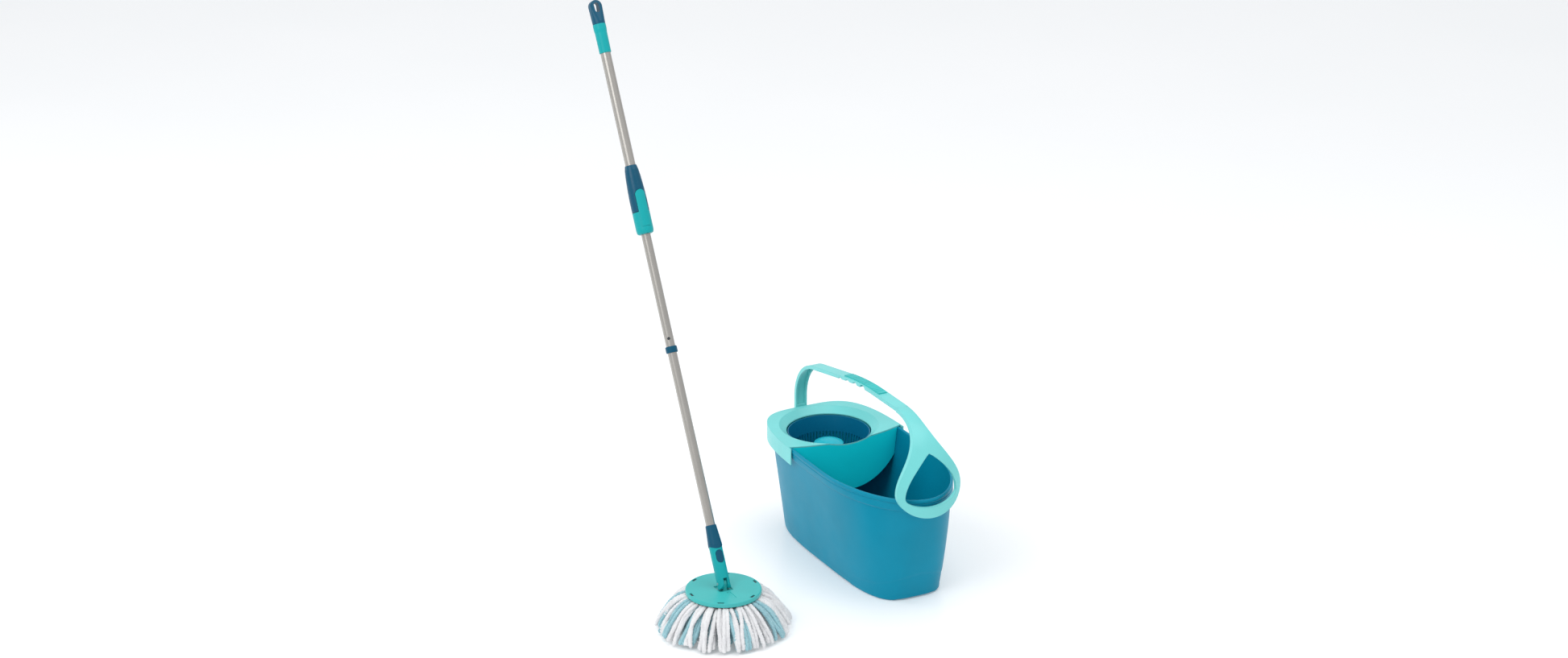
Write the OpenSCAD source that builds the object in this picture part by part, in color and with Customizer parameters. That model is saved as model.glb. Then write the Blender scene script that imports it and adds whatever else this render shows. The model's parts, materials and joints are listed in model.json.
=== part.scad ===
// Spin mop set: a push-handle spin mop standing beside the bucket that holds its spin basket.
// Origin: on the floor under the bucket, on its long centre line. +Z is up.
// +X runs along the bucket towards its pouring nose. The mop stands on the -Y side.
// Every size is in millimetres. Places along the mop's handle are measured from its tilt pivot.

/* [Bucket] */
// Height of the bucket to the top of its rim
bucket_h = 256; // [215:1:310]
// Base length from the origin to the nose end
base_front = 250; // [215:1:262]
// Base length from the origin to the basket end
base_back = 264; // [250:1:268]
// Half width of the base
base_half = 98; // [90:1:118]
// Rim: where its widest point lies along the bucket
rim_mid = 66; // [50:1:80]
// Rim length from its widest point to the nose
rim_front = 238; // [220:1:286]
// Rim length from its widest point to the basket end
rim_back = 336; // [330:1:350]
// Half width of the rim
rim_half = 136; // [130:1:164]
// Wall thickness
bucket_wall = 2.6; // [2:0.1:4]
// Floor thickness
floor_t = 3; // [2.5:0.5:5]
// Height of the thickened band around the rim
band_h = 28; // [20:1:36]
// How far the band stands out of the wall
band_out = 4.5; // [3:0.5:5]

/* [Cradle] */
// Thickness of the cradle's top plate
collar_t = 3; // [2:0.5:4]
// Depth of the skirt that clips over the rim
skirt_h = 38; // [30:1:50]
// Thickness of the skirt
skirt_t = 2.2; // [1.5:0.1:3]
// Gap between the rim band and the skirt
skirt_gap = 0.6; // [0.3:0.1:1.5]
// Depth of the bowl under the rim
bowl_depth = 116; // [105:1:125]
// Bowl wall thickness
bowl_wall = 2.5; // [2:0.1:4]
// Radius of the splash wall seen from above
apron_r = 380; // [300:5:460]
// How far the basket's mouth sinks below the rim
mouth_drop = 10; // [6:1:14]

/* [Basket] */
// Room between the mop plate and the basket's wall
plate_room = 9; // [5:0.5:10]
// Basket wall thickness
basket_wall = 2; // [1.5:0.1:3]
// Basket depth
basket_depth = 77; // [65:1:85]
// Drain slots around the basket
slot_count = 72; // [36:6:84]
// Width of one drain slot
slot_w = 3.2; // [2:0.2:4]
// Radius of the hub in the middle of the basket
hub_r = 33; // [26:0.5:40]
// Height of the hub
hub_h = 55; // [45:1:66]
// Radius of the steel axle
axle_r = 4; // [3:0.5:5]
// Running clearance of the bush on the axle
axle_fit = 0.06; // [0.02:0.01:0.1]

/* [Carry handle] */
// Width of the strap
strap_w = 28; // [22:1:34]
// Thickness of the strap
strap_t = 8; // [6:0.5:10]
// Height of the straight post above the hinge
post_h = 42; // [30:1:60]
// Bend radius over the post
bend_r = 100; // [80:1:120]
// Slope of the rising run over the basket
run_slope = 10.5; // [8:0.5:13]
// Length of that run
run_len = 152; // [125:1:185]
// Radius of the gentle bend that levels the handle out
crown_r = 722; // [600:1:870]
// Radius of the last bend, and of the loop's wrap around the nose
nose_bend_r = 140; // [116:1:168]
// Gap between the loop and the bucket's rim
loop_gap = 4.5; // [3:0.5:8]
// Half width of the loop in front of the nose
loop_half = 78; // [65:1:94]
// Half width of the loop's opening
loop_hole = 62; // [50:1:64]
// How far the loop hangs below the hinge's line
loop_drop = 20; // [16:1:26]
// Radius of the hinge pin
hinge_r = 2.5; // [2:0.5:3.5]
// Thickness of the soft pad on the grip
pad_t = 2.5; // [1.5:0.5:4]

/* [Mop head] */
// Gap between the bucket's rim and the fringe
stand_gap = 152; // [100:1:200]
// Where the mop stands along the bucket
mop_x = 188; // [-50:1:300]
// Radius of the head plate
plate_r = 81.5; // [70:0.5:95]
// Height of the plate's top face above the floor
plate_z = 92; // [75:1:110]
// Thickness of the plate
plate_t = 4; // [3:0.5:6]
// Height of the plate's edge
plate_edge = 9; // [8:0.5:12]
// Radius of the fringe where it lies on the floor
fringe_r = 150; // [130:1:180]
// Height of the tilt pivot above the plate
pivot_up = 12; // [12:0.5:16]
// Radius of the tilt pin
tilt_pin_r = 3; // [2.5:0.5:3.5]
// Width of the lug that the neck's fork straddles
lug_w = 8; // [7:0.5:10]
// Angle between the standing handle and the vertical
lean = 28.2; // [0:0.2:60]

/* [Lower handle] */
// Wall of the neck around the lower tube
neck_wall = 4.2; // [3.8:0.1:7]
// Length of the neck above the pivot
neck_len = 81; // [78:1:100]
// Length of the dark sleeve on top of the neck
sleeve_len = 45; // [35:1:60]
// Distance from the pivot to the joint between the two steel tubes
joint_at = 511; // [420:1:640]
// Outer radius of the lower and middle tubes
tube_r = 10; // [9:0.1:10.3]
// Wall of the lower and middle tubes
tube_t = 0.9; // [0.7:0.1:1.2]
// Wall of the ring around the tube joint
ring_wall = 2.8; // [2:0.1:5]
// Height of that ring
ring_h = 14; // [10:1:20]
// Length of the oval release button
button_l = 27; // [20:1:30]
// Width of the release button
button_w = 15.8; // [12:0.1:16.5]
// Travel of the release button
button_travel = 1.5; // [1:0.1:1.6]
// Travel of the snap button in the tube
snap_travel = 2; // [1:0.1:2]

/* [Upper handle] */
// Distance that the upper handle is pushed down to spin the head
pump_stroke = 215; // [160:1:260]
// Travel of the turquoise lock slider
lock_travel = 8; // [5:1:10]
// Gap between the middle tube and the upper tube that slides over it
tube_gap = 0.35; // [0.3:0.05:0.8]
// Wall of the upper tube
upper_t = 0.8; // [0.6:0.1:0.8]
// Radius of the middle grip
grip_r = 19; // [17:0.5:22]
// Length of the lock slider's round part
lock_len = 48; // [40:1:60]
// Length of the thumb tongue above it
tongue_len = 48; // [36:1:52]
// Length of the dark grip shell
shell_len = 102; // [90:1:130]
// Length of bare tube between the grip and the top sleeve
bare_len = 250; // [200:1:320]
// Length of the top sleeve
top_len = 64; // [50:1:80]
// Length of the hanging cap
cap_len = 53; // [46:1:64]
// Pitch of the twisted drive rod
rod_pitch = 120; // [90:5:200]
// Width of the twisted drive rod
rod_w = 9.6; // [8:0.1:9.8]

/* [Hidden] */

$fn = 96;
eps = 0.01;
slip = 0.06;             // radial running clearance
snug = 0.02;             // radial clearance of pieces that are pushed together
clear = 0.3;             // smallest gap between moving pieces that are no fit

blue = [0.02, 0.55, 0.69];
mint = [0.50, 0.88, 0.86];
aqua = [0.15, 0.72, 0.72];
navy = [0.02, 0.36, 0.50];
steel = [0.62, 0.62, 0.60];

// ---- bucket ----
ring_points = 72;        // points in one outline of the bucket
base_front_n = 3.6;      // squareness of the base at the nose end
base_back_n = 3.2;
rim_front_n = 1.9;       // the rim's nose is nearly an ellipse
rim_back_n = 4;
foot_round = 6;          // rounding of the base's edge
rim_round = 3;

// ---- basket and cradle, from the plate that has to go in ----
basket_r = plate_r + plate_room;                  // inner radius at the mouth
mouth_r = basket_r + basket_wall + 2.5;           // radius of the opening in the collar
mouth_z = bucket_h - mouth_drop;
bowl_r = mouth_r + 7;                             // outer radius of the bowl's top
bowl_taper = 8;
bowl_z = bucket_h - bowl_depth;
bowl_top = mouth_z + 1;
rear_gap = 10;                                    // bowl to the bucket's rear wall
dish_w = bowl_r + rear_gap - 0.5 - mouth_r;       // the collar slopes down to the mouth over this width
basket_x = rim_mid - rim_back + bucket_wall + rear_gap + bowl_r;
apron_x = basket_x + bowl_r - apron_r;            // centre of the splash wall's arc
apron_t = 3;
apron_u = 165;                                    // radius of the splash wall's round lower edge
skirt_end = apron_x + apron_r - 14;               // the skirt stops here, short of the splash wall
basket_top = mouth_z - 3;
basket_z = basket_top - basket_depth;             // underside of the basket's floor
basket_taper = 6;
post_top = bowl_z + 20;                           // top of the bearing post in the bowl
post_r = 13;
washer_t = 2.5;
core_r = 11;                                      // basket's own bearing tube
core_top = post_top + 44;
bush_r = 7.5;
drain_r = 5;

// ---- carry handle ----
hinge_z = bucket_h - 18;
hinge_x = rim_mid - rim_back - band_out - skirt_gap - skirt_t - 13.5;
barrel_r = 6;
post_x = hinge_x;
bend_c = [post_x + bend_r, hinge_z + post_h];
run_start = bend_c + bend_r * [-sin(run_slope), cos(run_slope)];
run_end = run_start + run_len * [cos(run_slope), sin(run_slope)];
crown_c = run_end - crown_r * [-sin(run_slope), cos(run_slope)];
crown_z = crown_c.y + crown_r;                    // level stretch at the top
loop_x = rim_mid + rim_front + band_out + loop_gap + strap_t / 2;
nose_c = [loop_x - nose_bend_r, crown_z - nose_bend_r];
loop_low = hinge_z - loop_drop;                   // lowest point of the loop
loop_mid = hinge_z + 37;                          // height where the loop is widest
hole_low = loop_low + 25;
hole_mid = hinge_z + 30;
hole_top = hinge_z + 120;
lug_gap = 0.6;                                    // strap to hinge ear
ear_t = 5;
pad_w = 20;
pad_from = -65;
pad_to = 92;
wave_at = 132;                                    // first finger wave along the run
pad_groove = 1;
pad_pitch = 9;
finger_r = 12;
finger_pitch = 34;

// ---- mop head ----
mop_y = -(rim_half + stand_gap + fringe_r);
pivot = [mop_x, mop_y, plate_z + pivot_up];
tab_angle = 29;                                   // first of the six carrier tabs
tab_at = plate_r - 6.5;
tab_l = 13;
tab_w = 4.5;
tab_gap = 0.5;
boss_r = 30;
boss_h = 8;
carrier_t = 8;
carrier_z = plate_z - plate_t - carrier_t;
fork_gap = 0.4;
neck_r = tube_r + neck_wall;
lug_r = 8;
pocket = [2 * neck_r + 4, 2 * neck_r + 3, 2.5];

// ---- stations along the handle ----
ring_r = tube_r + ring_wall;
upper_r = tube_r + tube_gap + upper_t;            // outer radius of the upper tube
sleeve_top = neck_len + sleeve_len;
tube_bottom = 32;
button_at = 57.5;
snap_at = joint_at + 24;
snap_turn = -28;
lock_bottom = joint_at + 32 + lock_travel + pump_stroke;
shell_bottom = lock_bottom + lock_len + 1;
shell_top = shell_bottom + shell_len;
sleeve_bottom = shell_top + bare_len;
cap_bottom = sleeve_bottom + top_len;
upper_bottom = lock_bottom + 24;
anchor_len = 18;
anchor_bottom = cap_bottom - anchor_len;
rivet_at = anchor_bottom + anchor_len / 2 + 3.5;
rivet_r = 1.5;
bush_flange = 8;
middle_top = anchor_bottom - pump_stroke - bush_flange - 22;
nut_len = 30;
nut_top = middle_top - 8;
nut_bottom = nut_top - nut_len;
clutch_len = 14;
clutch_bottom = nut_bottom - clutch_len - 1;
rod_bottom = clutch_bottom - 30;
rod_t = 3.4;
rod_room = 0.5;
slot_room = 0.6;                                  // rod to the driving slot in the nut
slot_plate = 2;
lock_core_r = upper_r + 1.85;                     // bush that the lock slider slides on
notch_gap = 0.6;

// ---------- shared shapes ----------

// Point of a bucket outline: two half superellipses that meet at their widest point
function outline_point(t, mid, front, back, half, nf, nb) =
    let (c = cos(t), s = sin(t), n = c >= 0 ? nf : nb, a = c >= 0 ? front : back)
    [mid + a * sign(c) * pow(abs(c), 2 / n), half * sign(s) * pow(abs(s), 2 / n)];

function mix(a, b, k) = a + (b - a) * k;

// Outline of the bucket's wall at height z, moved outwards by grow
function outline(z, grow) =
    let (k = z / bucket_h)
    [for (i = [0 : ring_points - 1]) outline_point(
        360 * i / ring_points,
        mix(0, rim_mid, k),
        mix(base_front, rim_front, k) + grow,
        mix(base_back, rim_back, k) + grow,
        mix(base_half, rim_half, k) + grow,
        mix(base_front_n, rim_front_n, k),
        mix(base_back_n, rim_back_n, k))];

function lift(points, z) = [for (p = points) [p.x, p.y, z]];

// Closed solid through a list of rings that have the same number of points
module loft(rings) {
    n = len(rings[0]);
    m = len(rings);
    sides = [for (i = [0 : m - 2]) for (j = [0 : n - 1])
        let (a = i * n + j, b = i * n + (j + 1) % n)
        each [[a, a + n, b + n], [a, b + n, b]]];
    first = [for (j = [0 : n - 1]) j];
    last = [for (j = [n - 1 : -1 : 0]) (m - 1) * n + j];
    polyhedron(points = [for (r = rings) each r], faces = concat([first], sides, [last]));
}

// Slice of the bucket's inside, tapering as the wall does
module bucket_core(z0, z1, grow) {
    loft([for (z = [z0, mix(z0, z1, 0.5), z1]) lift(outline(z, grow), z)]);
}

module pipe(z0, z1, outer, inner) {
    translate([0, 0, z0]) difference() {
        cylinder(h = z1 - z0, r = outer);
        translate([0, 0, -1]) cylinder(h = z1 - z0 + 2, r = inner);
    }
}

// Round-ended bar, drawn flat with its length along X
module stadium(l, w) {
    square([l - w, w], center = true);
    for (side = [-1, 1]) translate([side * (l - w) / 2, 0]) circle(d = w);
}

// The same bar standing up along Z and pushed out along +X
module stadium_x(x0, x1, z, l, w) {
    translate([x0, 0, z]) rotate([0, 90, 0]) linear_extrude(x1 - x0) stadium(l, w);
}

// Places a piece in the frame of the leaning handle
module on_handle() {
    translate(pivot) rotate([0, -lean, 0]) children();
}

module on_head() {
    translate([mop_x, mop_y, 0]) children();
}

// Leaf spring bent to a V, lying against the tube's far wall
module v_spring(z, back, front, w) {
    leaf = 0.6;
    rise = 24;
    translate([0, 0, z]) along_y(w) polygon([
        [back, -rise - leaf], [back + leaf, -rise - leaf], [front, 0], [front - leaf, 0],
        [back + leaf, -rise + 2], [back + leaf, 8], [back, 8]]);
}

// ---------- bucket ----------

module bucket_shell() {
    band_z = bucket_h - band_h;
    inner = -bucket_wall;
    walls = [0.12, 0.25, 0.4, 0.55, 0.7, 0.8];
    color(blue) loft(concat(
        [lift(outline(0, -foot_round), 0)],
        [lift(outline(foot_round * 0.3, -foot_round * 0.3), foot_round * 0.3)],
        [lift(outline(foot_round, 0), foot_round)],
        [for (k = walls) lift(outline(k * bucket_h, 0), k * bucket_h)],
        [lift(outline(band_z, 0), band_z)],
        [lift(outline(band_z + 2, band_out), band_z + 2)],
        [lift(outline(bucket_h - rim_round, band_out), bucket_h - rim_round)],
        [lift(outline(bucket_h, band_out - rim_round), bucket_h)],
        [lift(outline(bucket_h, inner), bucket_h)],
        [for (k = [5 : -1 : 0]) lift(outline(walls[k] * bucket_h, inner), walls[k] * bucket_h)],
        [lift(outline(foot_round + floor_t, inner), foot_round + floor_t)],
        [lift(outline(floor_t, inner - foot_round), floor_t)]));
}

// Flat shape of the rim, grown outwards
module rim_shape(grow) {
    polygon(outline(bucket_h, grow));
}

module hinge_ears() {
    for (side = [-1, 1]) translate([0, side * (strap_w / 2 + lug_gap + ear_t / 2), 0]) {
        rotate([90, 0, 0]) linear_extrude(ear_t, center = true) {
            translate([hinge_x, hinge_z]) circle(barrel_r);
            translate([hinge_x, hinge_z - barrel_r]) square([14.5, 2 * barrel_r]);
        }
    }
}

module basket_cradle() {
    skirt_in = band_out + skirt_gap;
    skirt_out = skirt_in + skirt_t;
    plate_top = bucket_h + collar_t;
    color(mint) difference() {
        union() {
            // top plate and dished mouth, both stopped by the splash wall's arc
            intersection() {
                union() {
                    translate([0, 0, bucket_h]) linear_extrude(collar_t) rim_shape(skirt_out);
                    translate([basket_x, 0, 0]) rotate_extrude() polygon([
                        [mouth_r, mouth_z - collar_t], [mouth_r + dish_w, bucket_h],
                        [mouth_r + dish_w + 1, bucket_h], [mouth_r + dish_w + 1, plate_top],
                        [mouth_r + dish_w, plate_top], [mouth_r, mouth_z]]);
                }
                translate([apron_x, 0, 0]) cylinder(h = 2 * bucket_h, r = apron_r);
            }
            // skirt over the rim band
            intersection() {
                translate([0, 0, plate_top - skirt_h]) linear_extrude(skirt_h) difference() {
                    rim_shape(skirt_out);
                    rim_shape(skirt_in);
                }
                translate([skirt_end - 1000, -500, 0]) cube([1000, 1000, 2 * bucket_h]);
            }
            hinge_ears();
        }
        // mouth
        translate([basket_x, 0, bowl_z]) cylinder(h = bowl_depth + 50, r = mouth_r);
        // slope down to the mouth
        translate([basket_x, 0, 0]) rotate_extrude() polygon([
            [0, mouth_z], [mouth_r, mouth_z], [mouth_r + dish_w, plate_top],
            [mouth_r + dish_w, plate_top + 5], [0, plate_top + 5]]);
        // hinge pin holes
        translate([hinge_x, 0, hinge_z]) rotate([90, 0, 0])
            cylinder(h = 2 * strap_w, r = hinge_r + snug, center = true);
    }
}

// Bowl under the cradle, with the basket's bearing post and the splash wall across the bucket
module wringing_bowl() {
    under = mouth_z - collar_t - snug;            // underside of the dish, at the mouth
    slope = (bucket_h - mouth_z + collar_t) / dish_w;
    color(mint) difference() {
        union() {
            translate([basket_x, 0, 0]) rotate_extrude() polygon([
                [0, bowl_z], [bowl_r - bowl_taper, bowl_z], [bowl_r, bowl_top],
                [bowl_r - bowl_wall, bowl_top],
                [bowl_r - bowl_taper - bowl_wall, bowl_z + bowl_wall], [0, bowl_z + bowl_wall]]);
            // bearing post
            translate([basket_x, 0, bowl_z]) cylinder(h = post_top - bowl_z, r1 = post_r + 5, r2 = post_r);
            // splash wall
            intersection() {
                bucket_core(bowl_z, bucket_h - snug, -bucket_wall - 0.8);
                translate([apron_x, 0, 0]) difference() {
                    cylinder(h = bucket_h, r = apron_r);
                    translate([0, 0, -1]) cylinder(h = bucket_h + 2, r = apron_r - apron_t);
                }
                translate([apron_x, 0, bowl_z + apron_u]) rotate([0, 90, 0]) cylinder(h = 500, r = apron_u);
            }
        }
        // room inside the bowl, around the post
        translate([basket_x, 0, 0]) rotate_extrude() polygon([
            [post_r + 6, bowl_z + bowl_wall], [bowl_r - bowl_taper - bowl_wall, bowl_z + bowl_wall],
            [bowl_r - bowl_wall, bowl_top + 1], [post_r + 6, bowl_top + 1]]);
        translate([basket_x, 0, post_top]) cylinder(h = bucket_h, r = post_r + 7);
        // the dish rests on the bowl's edge
        translate([basket_x, 0, 0]) rotate_extrude() polygon([
            [mouth_r - 20, under - 20 * slope], [mouth_r + dish_w, bucket_h - snug],
            [mouth_r + dish_w, bucket_h + 5], [mouth_r - 20, bucket_h + 5]]);
        // drain holes in the bowl's floor
        for (i = [0 : 7]) rotate_about_basket(22.5 + 45 * i) translate([58, 0, bowl_z - 1])
            cylinder(h = bowl_wall + 2, r = drain_r);
        // seat of the axle
        translate([basket_x, 0, bowl_z + 4]) cylinder(h = 100, r = axle_r + snug);
    }
}

module rotate_about_basket(angle) {
    translate([basket_x, 0, 0]) rotate([0, 0, angle]) children();
}

module cradle_axle() {
    color(steel) translate([basket_x, 0, bowl_z + 4]) difference() {
        cylinder(h = core_top + 4 - bowl_z - 4, r = axle_r);
        // groove for the clip
        translate([0, 0, core_top + 0.7 - bowl_z - 4]) pipe(0, 1.6, axle_r + 1, axle_r - 0.6);
    }
}

module thrust_washer() {
    color([0.9, 0.9, 0.88]) translate([basket_x, 0, 0]) pipe(post_top, post_top + washer_t, 10, axle_r + 0.2);
}

module axle_clip() {
    color(steel) translate([basket_x, 0, core_top + 0.8]) difference() {
        cylinder(h = 1.4, r = axle_r + 3);
        translate([0, 0, -1]) cylinder(h = 4, r = axle_r - 0.5);
        translate([0, -axle_r + 1, -1]) cube([20, 2 * axle_r - 2, 4]);
    }
}

module spin_basket() {
    low_r = basket_r - basket_taper;
    core_z = post_top + washer_t + clear;
    slot_z = basket_z + 10;
    slot_h = basket_depth * 0.38;
    color(navy) translate([basket_x, 0, 0]) difference() {
        rotate_extrude() polygon([
            [bush_r + snug, core_z], [core_r, core_z], [core_r, basket_z], [low_r, basket_z],
            [low_r + basket_wall, basket_z + 2], [basket_r + basket_wall, basket_top],
            [basket_r, basket_top], [low_r, basket_z + 3], [core_r, basket_z + 3],
            [core_r, core_top - 1], [bush_r + snug, core_top - 1]]);
        for (i = [0 : slot_count - 1]) rotate([0, 0, 360 * i / slot_count])
            translate([low_r - 4, -slot_w / 2, slot_z]) cube([20, slot_w, slot_h]);
        for (i = [0 : 11]) rotate([0, 0, 15 + 30 * i])
            translate([hub_r + 8, -slot_w / 2, basket_z - 1]) cube([low_r - hub_r - 20, slot_w, 6]);
    }
}

module basket_hub() {
    foot = basket_z + 3;
    shell = 2;
    dome = 9;
    dome_z = foot + hub_h - dome;
    color(aqua) translate([basket_x, 0, 0]) difference() {
        union() {
            translate([0, 0, foot]) cylinder(h = hub_h - dome, r = hub_r);
            translate([0, 0, dome_z]) intersection() {
                dome_ball(hub_r, dome);
                cylinder(h = dome + 1, r = hub_r);
            }
        }
        translate([0, 0, foot - 1]) cylinder(h = hub_h - dome + 1, r = hub_r - shell);
        translate([0, 0, dome_z - eps]) intersection() {
            dome_ball(hub_r - shell, dome - shell);
            cylinder(h = dome + 1, r = hub_r - shell);
        }
    }
}

// Cap of a sphere that is r wide and h high, standing on z = 0
module dome_ball(r, h) {
    ball = (r * r + h * h) / (2 * h);
    translate([0, 0, h - ball]) sphere(ball);
}

module basket_bush() {
    color([0.92, 0.92, 0.9]) translate([basket_x, 0, 0])
        pipe(post_top + washer_t + clear, core_top, bush_r, axle_r + axle_fit);
}

// ---------- carry handle ----------

function arc(centre, r, a0, a1, n) =
    [for (i = [0 : n]) let (a = mix(a0, a1, i / n)) centre + r * [cos(a), sin(a)]];

// Points along the handle's centre line, moved outwards by grow, up to the level stretch's end
function arch_points(grow) = concat(
    [[post_x - grow, hinge_z]],
    arc(bend_c, bend_r + grow, 180, 90 + run_slope, 20),
    arc(crown_c, crown_r + grow, 90 + run_slope, 90, 12),
    [[nose_c.x + 0.5, crown_z + grow]]);

function reverse(list) = [for (i = [len(list) - 1 : -1 : 0]) list[i]];

// Flat band along that line, between two offsets
module arch_band(inner, outer) {
    polygon(concat(arch_points(outer), reverse(arch_points(inner))));
}

module along_y(w) {
    rotate([90, 0, 0]) linear_extrude(w, center = true) children();
}

// Half width of the loop at height z above its widest point: the strap flares out into it
function loop_width(z) =
    let (top = crown_z + strap_t, k = min(1, (z - loop_mid) / (top - loop_mid)))
    strap_w / 2 + (loop_half - strap_w / 2) * (1 + cos(180 * k)) / 2;

function hole_width(z) =
    let (k = min(1, (z - hole_mid) / (hole_top - hole_mid)))
    loop_hole * pow(max(0, cos(90 * k)), 0.85);

// Right half of a loop outline: half an ellipse below, a flared or pointed curve above
function half_loop(low, middle, half) =
    [for (i = [0 : 24]) let (a = mix(-90, 0, i / 24)) [half * cos(a), middle + (middle - low) * sin(a)]];

function both_sides(points) = concat(points, [for (p = reverse(points)) [-p.x, p.y]]);

module loop_outline() {
    top = crown_z + 2 * strap_t;
    polygon(both_sides(concat(
        half_loop(loop_low, loop_mid, loop_half),
        [for (i = [1 : 24]) let (z = mix(loop_mid, top, i / 24)) [loop_width(z), z]])));
}

module loop_opening() {
    polygon(both_sides(concat(
        half_loop(hole_low, hole_mid, loop_hole),
        [for (i = [1 : 20]) let (z = mix(hole_mid, hole_top, i / 20)) [hole_width(z) + 0.01, z]])));
}

// Curved shell that the loop is cut from: part of a ball above, part of a drum below
module nose_shell() {
    half_t = strap_t / 2;
    translate([nose_c.x, 0, nose_c.y]) difference() {
        union() {
            sphere(nose_bend_r + half_t);
            translate([0, 0, -nose_bend_r]) cylinder(h = nose_bend_r, r = nose_bend_r + half_t);
        }
        sphere(nose_bend_r - half_t);
        translate([0, 0, -nose_bend_r - 1]) cylinder(h = nose_bend_r + 1, r = nose_bend_r - half_t);
    }
}

module along_x(x0, x1) {
    translate([x0, 0, 0]) rotate([90, 0, 90]) linear_extrude(x1 - x0) children();
}

module carry_handle() {
    half_t = strap_t / 2;
    color(mint) difference() {
        union() {
            along_y(strap_w) arch_band(-half_t, half_t);
            // loop, cut out of the shell that wraps the nose
            intersection() {
                nose_shell();
                along_x(nose_c.x, loop_x + 50) difference() {
                    loop_outline();
                    loop_opening();
                }
            }
            translate([hinge_x, 0, hinge_z]) rotate([90, 0, 0]) cylinder(h = strap_w, r = barrel_r, center = true);
        }
        // channel on the inner side
        intersection() {
            along_y(strap_w - 8) arch_band(-half_t - 1, 1.5);
            translate([post_x - 50, -50, hinge_z + 22]) cube([run_end.x - post_x, 100, 1000]);
        }
        // finger waves under the grip
        for (i = [0 : 3]) translate([run_start.x, 0, run_start.y]) rotate([0, -run_slope, 0])
            translate([wave_at + finger_pitch * i, 0, -half_t - finger_r + 3])
            rotate([90, 0, 0]) cylinder(h = strap_w + 2, r = finger_r, center = true);
        translate([hinge_x, 0, hinge_z]) rotate([90, 0, 0])
            cylinder(h = strap_w + 2, r = hinge_r + slip, center = true);
    }
}

module grip_pad() {
    half_t = strap_t / 2;
    color(aqua) difference() {
        intersection() {
            along_y(pad_w) arch_band(half_t, half_t + pad_t);
            translate([pad_from, -50, 0]) cube([pad_to - pad_from, 100, 1000]);
        }
        for (x = [pad_from + pad_pitch : pad_pitch : pad_to - pad_pitch]) translate([x, 0, pad_height(x)])
            rotate([90, 0, 0]) cylinder(h = pad_w + 2, r = pad_groove, center = true);
    }
}

// Height of the pad's upper face over a place along the bucket
function pad_height(x) =
    x < run_end.x
    ? run_start.y + (x - run_start.x) * tan(run_slope) + (strap_t / 2 + pad_t) / cos(run_slope)
    : x < crown_c.x
    ? crown_c.y + sqrt(pow(crown_r + strap_t / 2 + pad_t, 2) - pow(x - crown_c.x, 2))
    : crown_z + strap_t / 2 + pad_t;

module hinge_pin() {
    color(steel) translate([hinge_x, 0, hinge_z]) rotate([90, 0, 0])
        cylinder(h = strap_w + 2 * (lug_gap + ear_t), r = hinge_r, center = true);
}

// ---------- mop head ----------

module at_tabs() {
    for (i = [0 : 5]) rotate([0, 0, tab_angle + 60 * i]) translate([tab_at, 0, 0]) children();
}

module head_plate() {
    low = plate_z - plate_t;
    color(aqua) on_head() difference() {
        union() {
            rotate_extrude() polygon([
                [0, low], [plate_r - 3, low], [plate_r - 3, plate_z - plate_edge],
                [plate_r - 0.6, plate_z - plate_edge], [plate_r, plate_z - plate_edge + 0.6],
                [plate_r, plate_z - 2], [plate_r - 0.6, plate_z - 0.6], [plate_r - 2, plate_z], [0, plate_z]]);
            translate([0, 0, low - boss_h]) cylinder(h = boss_h + eps, r = boss_r);
            // lug that carries the tilt pin
            along_y(lug_w) {
                translate([0, pivot.z]) circle(lug_r);
                translate([-lug_r, low]) square([2 * lug_r, pivot.z - low]);
            }
        }
        // pocket around the lug, so that the neck can swing down
        difference() {
            translate([-pocket.x / 2, -pocket.y / 2, plate_z - pocket.z]) cube([pocket.x, pocket.y, 10]);
            translate([-lug_r, -lug_w / 2, 0]) cube([2 * lug_r, lug_w, 2 * plate_z]);
        }
        translate([0, 0, pivot.z]) rotate([90, 0, 0]) cylinder(h = 40, r = tilt_pin_r + slip, center = true);
        at_tabs() translate([-tab_w / 2 - tab_gap, -tab_l / 2 - tab_gap, low - 1])
            cube([tab_w + 2 * tab_gap, tab_l + 2 * tab_gap, plate_t + 2]);
        // thumb groove beside the joint
        translate([22, -4, plate_z - 1.2]) cube([34, 8, 3]);
        // screw holes of the carrier
        at_screws() translate([0, 0, low - boss_h - 1]) cylinder(h = boss_h + plate_t - 1, r = 1.6);
    }
}

module at_screws() {
    for (i = [0 : 2]) rotate([0, 0, 60 + 120 * i]) translate([boss_r - 6, 0, 0]) children();
}

module fringe_carrier() {
    low = carrier_z;
    color([0.93, 0.93, 0.93]) on_head() difference() {
        union() {
            pipe(low, low + carrier_t, plate_r - 3.5, boss_r + 1);
            pipe(low - 3, low, boss_r + 6, 4);
            at_tabs() translate([-tab_w / 2, -tab_l / 2, low + carrier_t - eps])
                cube([tab_w, tab_l, plate_t - 1.5]);
        }
        at_screws() translate([0, 0, low - 4]) cylinder(h = 5, r = 1.9);
    }
}

module carrier_screws() {
    color(steel) on_head() at_screws() translate([0, 0, carrier_z - 3]) {
        translate([0, 0, -1.6]) cylinder(h = 1.6, r = 3.2);
        translate([0, 0, -eps]) cylinder(h = 11, r = 1.5);
    }
}

module mop_fringe() {
    top = carrier_z - 5;
    color([0.88, 0.9, 0.9]) on_head() rotate_extrude() polygon([
        [0, 0], [fringe_r - 2, 0], [fringe_r, 3], [fringe_r, 10], [fringe_r - 9, 30],
        [fringe_r - 32, 60], [plate_r + 14, plate_z - plate_edge - 9],
        [plate_r - 1, plate_z - plate_edge - 1], [plate_r - 8, top], [0, top]]);
}

module tilt_pin() {
    color(steel) on_handle() rotate([90, 0, 0])
        cylinder(h = 2 * neck_r + 0.8, r = tilt_pin_r, center = true);
}

// ---------- lower handle ----------

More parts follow.
